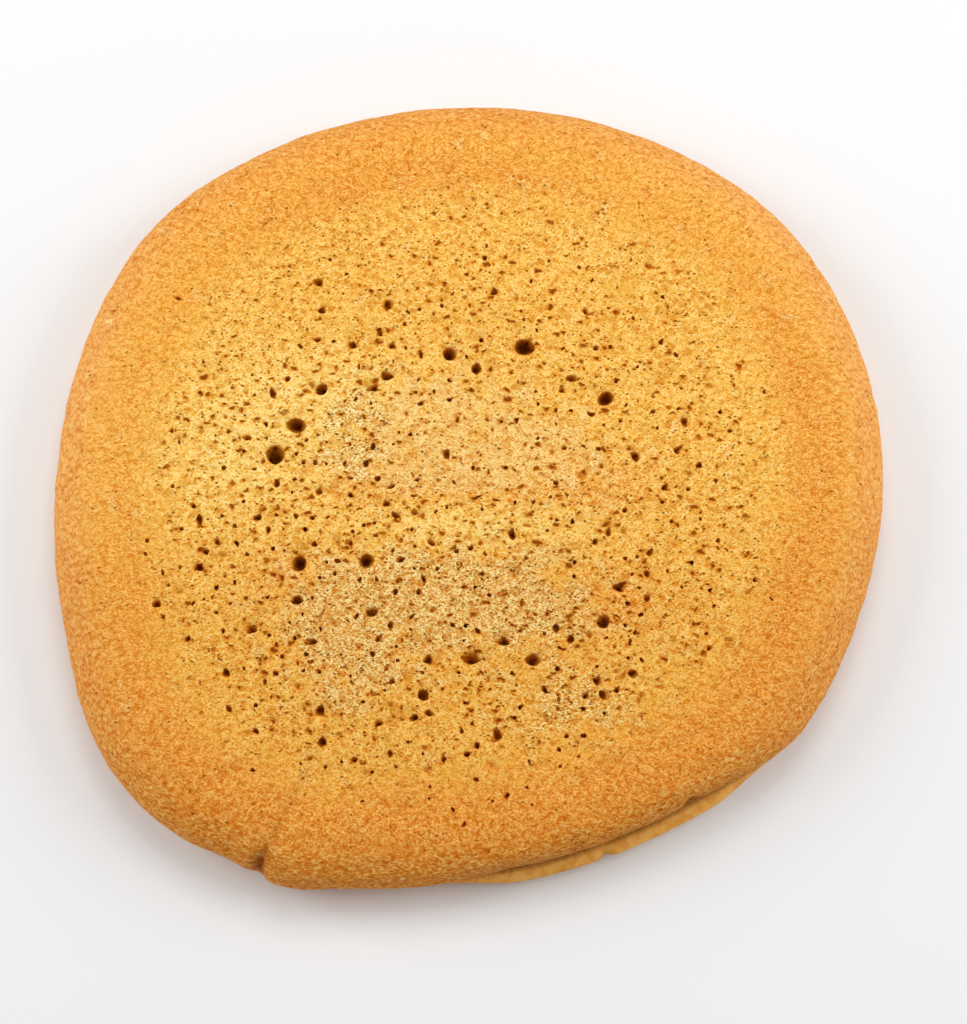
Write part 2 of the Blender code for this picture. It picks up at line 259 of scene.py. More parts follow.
class PancakeSizes(bpy.types.PropertyGroup):
    """The sizes of the pancake."""

    centre_height: bpy.props.FloatProperty(
        name="Centre height", description="Height of the middle of the top",
        default=18.0 * MM, min=5.0 * MM, max=0.05, unit="LENGTH",
    )
    shoulder_height: bpy.props.FloatProperty(
        name="Shoulder height", description="Height at which the top turns over into the rim",
        default=16.0 * MM, min=4.0 * MM, max=0.05, unit="LENGTH",
    )
    widest_height: bpy.props.FloatProperty(
        name="Widest height", description="Height of the rim's widest line",
        default=7.5 * MM, min=1.0 * MM, max=0.03, unit="LENGTH",
    )
    shoulder_width: bpy.props.FloatProperty(
        name="Shoulder width", description="How far inside the outline the rim begins to turn over",
        default=13.0 * MM, min=2.0 * MM, max=0.04, unit="LENGTH",
    )
    foot_width: bpy.props.FloatProperty(
        name="Foot width", description="How far the rim tucks in under its widest line",
        default=4.5 * MM, min=0.0, max=0.02, unit="LENGTH",
    )
    unevenness: bpy.props.FloatProperty(
        name="Unevenness", description="How far the top rises and falls",
        default=0.55 * MM, min=0.0, max=3.0 * MM, unit="LENGTH",
    )
    skirt_reach: bpy.props.FloatProperty(
        name="Skirt reach", description="How far the skirt stands out past the rim above it",
        default=2.3 * MM, min=0.0, max=0.01, unit="LENGTH",
    )
    groove_depth: bpy.props.FloatProperty(
        name="Groove depth", description="How deep the fold over the skirt goes in",
        default=2.0 * MM, min=0.0, max=0.01, unit="LENGTH",
    )
    hole_count: bpy.props.IntProperty(
        name="Steam holes", description="How many holes are open in the top",
        default=600, min=36, max=1200,
    )
    hole_seed: bpy.props.IntProperty(
        name="Hole seed", description="Another number spreads the smaller holes another way",
        default=11, min=0,
    )
    hole_depth: bpy.props.FloatProperty(
        name="Hole depth", description="Depth of a hole, in widths of its mouth",
        default=1.15, min=0.3, max=3.0,
    )
    relief: bpy.props.FloatProperty(
        name="Relief", description="Height of the crumb's lumps and of the rim's wrinkles",
        default=0.5 * MM, min=0.0, max=2.0 * MM, unit="LENGTH",
    )


def colour_property(name, description, colour):
    return bpy.props.FloatVectorProperty(
        name=name, description=description, subtype="COLOR", size=4, min=0.0, max=1.0, default=colour
    )


class PancakeColours(bpy.types.PropertyGroup):
    """The colours of the crumb and of the crust."""

    crumb: colour_property("Crumb", "The golden crumb of the top", (0.90, 0.475, 0.061, 1.0))
    # Cream is also the colour of the painted glints on the crests of the skin's wrinkles.
    cream: colour_property("Cream", "Thin, pale walls of the crumb", (0.98, 0.74, 0.275, 1.0))
    fleck: colour_property("Flecks", "The palest bits of the speckled patches", (1.0, 0.91, 0.49, 1.0))
    pale: colour_property("Pale patches", "Crumb with many fine holes", (0.87, 0.53, 0.17, 1.0))
    bright: colour_property("Bright patches", "Yellower crumb", (0.96, 0.60, 0.10, 1.0))
    # Toast: the browner crumb of the toasted ring and patches, and painted shade on the near and far
    # rim.
    toast: colour_property("Toasted patches", "Browner crumb", (0.82, 0.32, 0.030, 1.0))
    skin: colour_property("Skin", "The closed skin of the rim", (0.86, 0.38, 0.090, 1.0))
    # Glint: painted highlights on the skin's wrinkles; the same colour is the paler mottle of the
    # ring.
    glint: colour_property("Glint", "The raised wrinkles of the skin", (0.97, 0.55, 0.15, 1.0))
    # Amber tint: real amber stains of the crumb and the skirt, and painted shade in dips, pores,
    # hollows, on the near half and on the shaded rim.
    amber: colour_property("Amber tint", "Stained crumb and hollows", (0.80, 0.56, 0.22, 1.0))
    # Pit tint: painted shade in the smallest holes of the crumb, which the mesh doesn't open.
    pit: colour_property("Pit tint", "The smallest holes of the crumb", (0.62, 0.34, 0.04, 1.0))
    # Hollow tint: painted shade deep in the steam holes, and in the pores' cores and pinholes.
    hollow: colour_property("Hollow tint", "Deep in the steam holes", (0.62, 0.50, 0.26, 1.0))
    skirt: colour_property("Skirt", "The smooth skirt at the foot", (0.92, 0.46, 0.10, 1.0))
    # Groove tint: painted shade in the fold over the skirt and in the creases.
    groove: colour_property("Groove tint", "In the fold over the skirt", (0.42, 0.33, 0.25, 1.0))
    baked: colour_property("Baked", "The underside, browned by the griddle", (0.36, 0.14, 0.03, 1.0))


class PancakeStage(bpy.types.PropertyGroup):
    """The floor and the lights."""

    floor: colour_property("Floor", "The plain floor", (0.86, 0.86, 0.86, 1.0))
    far_power: bpy.props.FloatProperty(
        name="Far light", description="Power of the light over the far side",
        default=1.5, min=0.0, unit="POWER",
    )
    side_power: bpy.props.FloatProperty(
        name="Side lights", description="Power of each of the two lights at the sides",
        default=3.1, min=0.0, unit="POWER",
    )
    sky: bpy.props.FloatProperty(
        name="Sky", description="Strength of the even light from all round", default=0.42, min=0.0
    )


def smooth(low, high, value):
    """0 below low, 1 above high, and an even S between them."""
    t = min(1.0, max(0.0, (value - low) / (high - low)))
    return t * t * (3.0 - 2.0 * t)


def bump(value, middle, spread):
    return math.exp(-(((value - middle) / spread) ** 2))


def outline_radius(angle):
    """The radius of the outline at an angle, on a smooth closed curve through its radii."""
    count = len(OUTLINE_RADII)
    place = (angle / math.tau) % 1.0 * count
    first = int(place)
    t = place - first
    a, b, c, d = (OUTLINE_RADII[(first + k) % count] for k in (-1, 0, 1, 2))
    off = ((angle - PINCH_ANGLE + math.pi) % math.tau - math.pi) / PINCH_SPREAD
    pinch = PINCH_STEP * off * math.exp(0.5 - 0.5 * off * off)
    return pinch + 0.5 * (
        2 * b + (c - a) * t + (2 * a - 5 * b + 4 * c - d) * t * t + (3 * b - 3 * c + d - a) * t**3
    )


def skirt_share(angle):
    """How much of the skirt and of the groove over it there is at an angle, from 0 to 1."""
    off = abs((angle - SKIRT_MIDDLE + math.pi) % math.tau - math.pi)
    return 1.0 - smooth(SKIRT_HALF_ARC - SKIRT_FADE, SKIRT_HALF_ARC, off)


def groove_share(angle):
    """How much of the groove there is at an angle; it fades where the rim sticks to the skirt."""
    share = skirt_share(angle)
    for degrees, half_width, lost in GROOVE_BREAKS:
        share *= 1.0 - lost * bump(math.degrees(angle) % 360.0, degrees, half_width)
    return share


def crease_depth(angle, height):
    """How deep the creases draw the rim in at an angle and a height."""
    depth = 0.0
    for degrees, middle, width, length, reach in CREASES:
        off = (angle - math.radians(degrees) + math.pi) % math.tau - math.pi
        across = off * OUTLINE_RADII[0] / (width * MM)
        if abs(across) < CREASE_END:
            depth += reach * MM * math.exp(-(across**2)) * bump(height, middle * MM, length * MM)
    return depth


def plain_rim_radius(sizes, angle, height):
    """The radius of the rim without its folds, from the shoulder down to the foot."""
    drawn_in = sizes.skirt_reach * (1.0 - smooth(sizes.widest_height, sizes.shoulder_height, height))
    outer = outline_radius(angle) - drawn_in * skirt_share(angle)
    if height > sizes.widest_height:
        rise = (height - sizes.widest_height) / (sizes.shoulder_height - sizes.widest_height)
        return outer - sizes.shoulder_width * (1.0 - math.sqrt(max(0.0, 1.0 - min(1.0, rise) ** 2)))
    fall = 1.0 - max(0.0, height) / sizes.widest_height
    return outer - sizes.foot_width * (1.0 - math.sqrt(1.0 - fall**2))


def rim_radius(sizes, angle, height):
    """The radius of the rim with the skirt, the groove over it and the creases."""
    radius = plain_rim_radius(sizes, angle, height)
    if skirt_share(angle) > 0.0:
        lip = (outline_radius(angle) - radius) * bump(height, SKIRT_HEIGHT, SKIRT_SPREAD)
        groove = sizes.groove_depth * bump(height, GROOVE_HEIGHT, GROOVE_SPREAD)
        radius += skirt_share(angle) * lip - groove_share(angle) * groove
    return radius - crease_depth(angle, height)


def top_height(sizes, x, y):
    """The height of the top at a place, holes and crumb apart."""
    reach = math.hypot(x, y) / (outline_radius(math.atan2(y, x)) - sizes.shoulder_width)
    fall = (sizes.centre_height - sizes.shoulder_height) * min(1.0, reach) ** 2
    wave = noise.noise(Vector((x / UNEVEN_LENGTH, y / UNEVEN_LENGTH, 0.0)))
    uneven = sizes.unevenness * wave * (1.0 - smooth(*UNEVEN_FADE, reach))
    return sizes.centre_height - fall + uneven


def square_to_disc(u, v):
    """The angle and the share of the radius that a point of a square from -1 to 1 takes."""
    if u == 0.0 and v == 0.0:
        return 0.0, 0.0
    if abs(u) > abs(v):
        return math.pi / 4 * (v / u) + (math.pi if u < 0 else 0.0), abs(u)
    return math.pi / 2 - math.pi / 4 * (u / v) + (math.pi if v < 0 else 0.0), abs(v)


def rim_heights(sizes):
    """The heights of the rim's rings, evenly spread along its curve, from the shoulder down."""
    upper, lower = sizes.shoulder_height - sizes.widest_height, sizes.widest_height
    turns = [math.pi / 2 * (1.0 - (k + 1) / UPPER_RINGS) for k in range(UPPER_RINGS)]
    tucks = [math.pi / 2 * (k + 1) / LOWER_RINGS for k in range(LOWER_RINGS)]
    heights = [sizes.widest_height + upper * math.sin(turn) for turn in turns]
    return heights + [sizes.widest_height - lower * math.sin(tuck) for tuck in tucks]


def hole_share(x, y, width):
    """How likely a hole of a width is to open at a place."""
    across, along = x - HOLES_MIDDLE[0], y - HOLES_MIDDLE[1]
    field = 1.0 - smooth(HOLES_INNER, HOLES_OUTER, math.hypot(across, along))
    field *= HOLES_EVEN + HOLES_LEAN * math.cos(math.atan2(along, across) - HOLES_TREND)
    if width > NARROW:
        off = math.hypot(x - CLOSED_MIDDLE[0], y - CLOSED_MIDDLE[1])
        begin, end = (share * CLOSED_RADIUS for share in CLOSED_EDGE)
        field *= smooth(begin, end, off)
    edge = math.hypot(x, y) / outline_radius(math.atan2(y, x))
    likely, begin, end = FAR_SMALL if width < SMALL else FAR_WIDE
    return field + likely * (1.0 - smooth(begin, end, edge))


def has_room(holes, x, y, width):
    return all(
        math.hypot(x - hole[0], y - hole[1]) >= (width + hole[2] * hole[3]) / 2 + HOLE_GAP
        for hole in holes
    )


def placed_holes(rows):
    """The holes of a table, in metres and radians; all of them have their full depth."""
    return [
        (x * MM, y * MM, width * MM, stretch, math.radians(turn), 1.0)
        for x, y, width, stretch, turn in rows
    ]


def steam_holes(sizes):
    """(x, y, width, length over width, turn, share of the full depth) of each, the widest first."""
    draw = random.Random(sizes.hole_seed)
    holes = placed_holes(LARGE_HOLES)
    furrow = placed_holes(FURROW_HOLES)
    while len(holes) < sizes.hole_count:
        if furrow and len(holes) >= FURROW_FROM:
            holes.extend(hole for hole in furrow if has_room(holes, *hole[:3]))
            furrow = []
        width = HOLE_WIDEST / (1.0 + len(holes) / HOLE_RANK_SCALE) ** HOLE_RANK_POWER
        x, y = draw.uniform(-HOLES_OUTER, HOLES_OUTER), draw.uniform(-HOLES_OUTER, HOLES_OUTER)
        x, y = x + HOLES_MIDDLE[0], y + HOLES_MIDDLE[1]
        if draw.random() <= hole_share(x, y, width) and has_room(holes, x, y, width):
            stretch, turn = draw.uniform(1.0, 1.5), draw.uniform(0.0, math.pi)
            shallow = (SHALLOW_TURNS * turn) % 1.0 < SHALLOW_SHARE
            holes.append((x, y, width, stretch, turn, SHALLOW_DEPTH if shallow else 1.0))
    return holes


def only(obj):
    """Leaves one object selected and active, in object mode."""
    bpy.ops.object.select_all(action="DESELECT")
    obj.select_set(True)
    bpy.context.view_layer.objects.active = obj


def add_body(sizes):
    """(the pancake without its holes, the middle that it had before it was moved to the origin).

    It is a grid bent to the outline, with a rim of extruded rings.
    """
    bpy.ops.object.select_all(action="DESELECT")
    bpy.ops.mesh.primitive_grid_add(x_subdivisions=TOP_CELLS, y_subdivisions=TOP_CELLS, size=2.0)
    body = bpy.context.object
    body.name = body.data.name = "pancake_sponge"
    heights = rim_heights(sizes)
    bpy.ops.object.mode_set(mode="EDIT")
    bpy.ops.mesh.select_mode(type="EDGE")
    bpy.ops.mesh.select_all(action="DESELECT")
    bpy.ops.mesh.select_non_manifold()
    for _ring in range(len(heights) + len(UNDER_SHARES)):
        bpy.ops.mesh.extrude_edges_move(TRANSFORM_OT_translate={"value": (0.0, 0.0, -1.0)})
    bpy.ops.mesh.edge_face_add()
    bpy.ops.object.mode_set(mode="OBJECT")
    for vert in body.data.vertices:
        angle, share = square_to_disc(vert.co.x, vert.co.y)
        ring = round(-vert.co.z)
        if ring == 0:
            reach = share * (outline_radius(angle) - sizes.shoulder_width)
            height = top_height(sizes, reach * math.cos(angle), reach * math.sin(angle))
        elif ring <= len(heights):
            height = heights[ring - 1]
            reach = rim_radius(sizes, angle, height)
        else:
            height = 0.0
            reach = rim_radius(sizes, angle, height) * UNDER_SHARES[ring - len(heights) - 1]
        vert.co = (reach * math.cos(angle), reach * math.sin(angle), height)
    xs, ys = ([vert.co[k] for vert in body.data.vertices] for k in (0, 1))
    centre = Vector(((min(xs) + max(xs)) / 2, (min(ys) + max(ys)) / 2, 0.0))
    body.data.transform(Matrix.Translation(-centre))
    bpy.ops.object.mode_set(mode="EDIT")
    bpy.ops.mesh.select_all(action="SELECT")
    bpy.ops.mesh.normals_make_consistent(inside=False)
    bpy.ops.object.mode_set(mode="OBJECT")
    return body, centre


def quarter_arc(width, height):
    """About how long a quarter of an ellipse with these half axes is."""
    return ARC_SHARE * (width + height)


def skin_place(sizes, spot):
    """(angle, radius, distance past the shoulder along the surface) of a point of the skin."""
    angle, radius = math.atan2(spot.y, spot.x), math.hypot(spot.x, spot.y)
    outer = outline_radius(angle)
    past = radius - outer + sizes.shoulder_width
    if past < 0.0:
        return angle, radius, past
    upper, lower = sizes.shoulder_height - sizes.widest_height, sizes.widest_height
    arc = quarter_arc(sizes.shoulder_width, upper)
    if spot.z > lower:
        turn = math.atan2(past / sizes.shoulder_width, (spot.z - lower) / upper)
        return angle, radius, arc * turn / (math.pi / 2)
    over_foot = max(0.0, radius - outer + sizes.foot_width) / sizes.foot_width
    turn = math.atan2((lower - spot.z) / lower, over_foot)
    return angle, radius, arc + quarter_arc(sizes.foot_width, lower) * turn / (math.pi / 2)


def fold_place(angle, run):
    """A place in millimetres in which wrinkles come out twice as long as they are wide."""
    return Vector((WRINKLE_RADIUS * math.cos(angle), WRINKLE_RADIUS * math.sin(angle), run / MM))


def near_holes(holes, narrowest):
    """A search tree of the holes from a width up; the index of each is its place in the list."""
    tree = kdtree.KDTree(len(holes))
    for k, hole in enumerate(holes):
        if hole[2] >= narrowest:
            tree.insert((hole[0], hole[1], 0.0), k)
    tree.balance()
    return tree


def funnel_depth(tree, holes, x, y):
    """How deep the funnels round the wide holes are at a place."""
    sunk = 0.0
    for _co, k, _off in tree.find_range((x, y, 0.0), FUNNEL_REACH):
        hole_x, hole_y, width, _stretch, turn, _share = holes[k]
        lean, way = FUNNEL_LEAN * width, FUNNEL_TURNS * turn
        off = math.hypot(x - hole_x - lean * math.cos(way), y - hole_y - lean * math.sin(way))
        sunk += FUNNEL_DEPTH * width * bump(off / width, FUNNEL_MIDDLE, FUNNEL_SPREAD)
    return sunk


def layered_noise(place, layers):
    return sum(share * noise.noise(place / length) for length, share in layers)


def relief_share(angle, height):
    """How much of the relief there is: it fades at the foot and on the smooth skirt."""
    lost = SKIRT_RELIEF_LOST * skirt_share(angle) * (1.0 - smooth(*SKIRT_RELIEF_TOP, height))
    return smooth(0.0, RELIEF_FULL, height) * (1.0 - lost)


def relieve(sizes, body, centre, holes):
    """Raises the crumb's lumps and the rim's wrinkles, and sinks a funnel round each wide hole."""
    tree = near_holes(holes, FUNNEL_FROM)
    normals = [vert.normal.copy() for vert in body.data.vertices]
    for vert, normal in zip(body.data.vertices, normals):
        if vert.co.z < RELIEF_FROM:
            continue
        angle, _radius, run = skin_place(sizes, vert.co + centre)
        spot = (vert.co + centre) / MM
        rim = smooth(*RIM_BEGINS, run)
        lumps = layered_noise(spot, LUMPS)
        crumb = lumps + layered_noise(spot, FINE_LUMPS)
        skin = RIM_LUMPS * lumps + layered_noise(fold_place(angle, run), WRINKLES)
        full = sizes.relief * relief_share(angle, vert.co.z)
        rise = full * ((1.0 - rim) * crumb + rim * skin)
        sunk = funnel_depth(tree, holes, vert.co.x, vert.co.y) if run < 0.0 else 0.0
        vert.co = vert.co + normal * rise - Vector((0.0, 0.0, sunk))


def add_bubbles(sizes, holes):
    """One mesh of all the bubbles whose mouths are the steam holes, each out of true its own way."""
    noise.seed_set(BUBBLE_SEED)
    models = []
    for _narrowest, sides, rings, _warp in BUBBLE_KINDS:
        bpy.ops.mesh.primitive_uv_sphere_add(segments=sides, ring_count=rings, radius=1.0)
        models.append(bpy.context.object)
    shape = bmesh.new()
    for count, (x, y, width, stretch, turn, share) in enumerate(holes):
        kind = next(k for k, limits in enumerate(BUBBLE_KINDS) if width >= limits[0])
        bubble = models[kind].data.copy()
        apart = Vector((BUBBLE_APART * count, 0.0, 0.0))
        for vert in bubble.vertices:
            shift = noise.noise_vector(vert.co * BUBBLE_LUMPS + apart)
            narrowed = 1.0 + BUBBLE_TAPER * min(0.0, vert.co.z)
            lean, way = BUBBLE_LEAN * vert.co.z, BUBBLE_TURNS * turn
            vert.co.x = vert.co.x * narrowed + lean * math.cos(way)
            vert.co.y = vert.co.y * narrowed + lean * math.sin(way)
            vert.co += BUBBLE_KINDS[kind][3] * Vector((shift.x, shift.y, BUBBLE_LIFT * shift.z))
        depth = sizes.hole_depth * width * share
        half_width = BUBBLE_HALF_WIDTH * width
        place = Matrix.Translation((x, y, top_height(sizes, x, y) - BUBBLE_SINK * depth))
        size = Matrix.Diagonal((half_width * stretch, half_width, BUBBLE_HALF_DEPTH * depth, 1.0))
        bubble.transform(place @ Matrix.Rotation(turn, 4, "Z") @ size)
        shape.from_mesh(bubble)
        bpy.data.meshes.remove(bubble)
    for model in models:
        bpy.data.objects.remove(model)
    mesh = bpy.data.meshes.new("bubbles")
    shape.to_mesh(mesh)
    shape.free()
    bubbles = bpy.data.objects.new("bubbles", mesh)
    bpy.context.scene.collection.objects.link(bubbles)
    return bubbles


def cut(body, cutter):
    """Cuts one closed mesh from another and removes the cutter."""
    modifier = body.modifiers.new(cutter.name, "BOOLEAN")
    modifier.operation = "DIFFERENCE"
    modifier.solver = "MANIFOLD"
    modifier.object = cutter
    only(body)
    bpy.ops.object.modifier_apply(modifier=modifier.name)
    bpy.data.objects.remove(cutter)


def soften(sizes, body, holes):
    """Rounds the lips of the holes."""
    group = body.vertex_groups.new(name="lips")
    tree = near_holes(holes, SOFT_FROM)
    for vert in body.data.vertices:
        if vert.co.z < sizes.shoulder_height - LIP_DROP:
            continue
        for _co, k, off in tree.find_range((vert.co.x, vert.co.y, 0.0), LIP_REACH):
            if abs(off / holes[k][2] - 0.5) < LIP_BAND:
                group.add([vert.index], 1.0, "REPLACE")
                break
    modifier = body.modifiers.new("lips", "SMOOTH")
    modifier.vertex_group = "lips"
    modifier.factor = 0.5
    modifier.iterations = LIP_PASSES
    only(body)
    bpy.ops.object.modifier_apply(modifier=modifier.name)
    body.vertex_groups.clear()


def patch_share(finish, x, y):
    """How much of a patch of one finish there is at a place of the top, from 0 to 1."""
    share = 0.0
    for kind, middle_x, middle_y, half_width, half_depth in PATCHES:
        if kind == finish:
            across, along = (x / MM - middle_x) / half_width, (y / MM - middle_y) / half_depth
            share += math.exp(-(across * across + along * along))
    return min(1.0, share)


def toast_ring_and_rim_shade(angle, run):
    """How much of the toasted ring there is at an angle and a distance past the shoulder, with painted
    shade added on the near and the far rim.
    """
    far = max(0.0, math.sin(angle))
    share = RING_EVEN
    for degrees, half_width, more in RING_ARCS:
        off = (math.degrees(angle) - degrees + 180.0) % 360.0 - 180.0
        share += more * bump(off, 0.0, half_width)
    share *= bump(run, (-2.0 - 2.0 * far) * MM, (5.5 + far) * MM)
    # Painted shade: the near rim and the far rim are made browner and darker.
    near_side = smooth(0.3, 0.9, -math.sin(angle))
    far_side = smooth(0.5, 1.0, math.sin(angle - FAR_SHADE_LEFT))
    share += 0.9 * smooth(-6.0 * MM, 3.0 * MM, run) * near_side
    return share + 0.45 * smooth(-2.0 * MM, 6.0 * MM, run) * far_side


def skirt_finish(angle, height):
    """How much of the skirt's smooth, yellower finish there is on the rim."""
    return skirt_share(angle) * (1.0 - smooth(*SKIRT_FINISH_TOP, height))


def groove_and_crease_shade(angle, height):
    """How much painted shade the groove over the skirt and the creases get on the rim."""
    shade = sum(dark * (1.0 - smooth(low, high, height)) for dark, low, high in GROOVE_SHADES)
    shade *= smooth(*GROOVE_LOW, height)
    creased = min(1.0, crease_depth(angle, height) / CREASE_DARK)
    return max(0.9 * creased, groove_share(angle) * shade)


def record_places(sizes, body, centre, holes):
    """Writes on each vertex what its finish depends on: how deep it lies, for the painted shade in
    holes, and where on the skin.
    """
    mesh = body.data
    tree = near_holes(holes, FUNNEL_FROM)
    finish = {name: [] for name in ("sink", *ZONES, *PATCH_KINDS)}
    flat, folds = [], []
    arc = quarter_arc(sizes.shoulder_width, sizes.shoulder_height - sizes.widest_height)
    for vert in mesh.vertices:
        spot = vert.co + centre
        angle, radius, run = skin_place(sizes, spot)
        low = spot.z < UNDER_FACE_TOP
        if run > 0.0:
            inside = plain_rim_radius(sizes, angle, min(spot.z, sizes.shoulder_height)) - radius
            depth = min(inside, sizes.shoulder_height - spot.z)
            under = 1.0 - smooth(0.0, UNDER_FINISH_TOP, spot.z)
        else:
            funnels = funnel_depth(tree, holes, vert.co.x, vert.co.y)
            depth = top_height(sizes, spot.x, spot.y) - spot.z - FUNNEL_UNSHADED * funnels
            under = float(low)
        patch = patch_share("toast_and_shade", spot.x, spot.y)
        finish["sink"].append(0.0 if low else depth / MM)
        finish["rim"].append(smooth(*RIM_FINISH, run))
        finish["field"].append(1.0 - smooth(CRUMB_FROM, CRUMB_TO, run))
        finish["near_half_shade"].append(1.0 - smooth(*NEAR_SHADE_FINISH, spot.y))
        finish["under"].append(under)
        finish["skirt"].append(skirt_finish(angle, spot.z))
        finish["groove"].append(groove_and_crease_shade(angle, spot.z))
        finish["toast_and_shade"].append(min(1.0, toast_ring_and_rim_shade(angle, run) + PATCH_TOAST * patch))
        for name in ("pale", "bright", "speckled"):
            finish[name].append(patch_share(name, spot.x, spot.y))
        reach = radius / MM
        if run > 0.0 and not low:
            reach = (outline_radius(angle) - sizes.shoulder_width + min(run, 2.0 * arc - run)) / MM
        flat.extend((reach * math.cos(angle), reach * math.sin(angle), 0.0))
        folds.extend(fold_place(angle, run))
    for name, values in finish.items():
        mesh.attributes.new(name, "FLOAT", "POINT").data.foreach_set("value", values)
    for name, values in (("flat", flat), ("folds", folds)):
        mesh.attributes.new(name, "FLOAT_VECTOR", "POINT").data.foreach_set("vector", values)


class Shade:
    """A socket of a material's nodes; arithmetic on it adds the Math nodes that work it out."""

    def __init__(self, tree, socket=None):
        self.tree = tree
        self.socket = socket

    def node(self, kind, settings=None, sockets=None, output=0):
        """Adds a node, sets it, gives its sockets values or links, and returns one output."""
        made = self.tree.nodes.new(kind)
        for name, value in (settings or {}).items():
            setattr(made, name, value)
        for name, value in (sockets or {}).items():
            if isinstance(value, Shade):
                self.tree.links.new(value.socket, made.inputs[name])
            else:
                made.inputs[name].default_value = value
        return Shade(self.tree, made.outputs[output])

    def arithmetic(self, operation, *values):
        return self.node("ShaderNodeMath", {"operation": operation}, dict(enumerate(values)))

    def __add__(self, other):
        return self.arithmetic("ADD", self, other)

    __radd__ = __add__

    def __mul__(self, other):
        return self.arithmetic("MULTIPLY", self, other)

    __rmul__ = __mul__

    def __sub__(self, other):
        return self.arithmetic("SUBTRACT", self, other)

    def __rsub__(self, other):
        return self.arithmetic("SUBTRACT", other, self)

    def step(self, low, high):
        """0 below low, 1 above high, and an even S between them."""
        ends = {"Value": self, "From Min": low, "From Max": high}
        return self.node("ShaderNodeMapRange", {"interpolation_type": "SMOOTHSTEP"}, ends)

    def mix(self, first, second, blend="MIX"):
        """The first colour where this value is 0, and the second where it is 1."""
        settings = {"data_type": "RGBA", "blend_type": blend}
        return self.node("ShaderNodeMix", settings, {0: self, 6: first, 7: second}, output=2)

    def stain(self, colour, tint):
        """The colour, multiplied by a tint where this value is 1."""
        return self.mix(colour, tuple(tint), "MULTIPLY")

    def noise(self, length, detail=0.0, roughness=0.5, dimensions="2D", output=0):
        """Noise from 0 to 1 over this place, whose lumps have a length."""
        ends = {"Vector": self, "Scale": 1.0 / length, "Detail": detail, "Roughness": roughness}
        return self.node("ShaderNodeTexNoise", {"noise_dimensions": dimensions}, ends, output)

    def cells(self, length):
        """(distance to the nearest cell's middle, two random numbers of that cell) at this place."""
        settings = {"feature": "F1", "voronoi_dimensions": "2D"}
        near = self.node("ShaderNodeTexVoronoi", settings, {"Vector": self, "Scale": 1.0 / length})
        colour = Shade(self.tree, near.socket.node.outputs["Color"])
        first = self.node("ShaderNodeSeparateColor", None, {"Color": colour})
        return near, first, Shade(self.tree, first.socket.node.outputs[1])


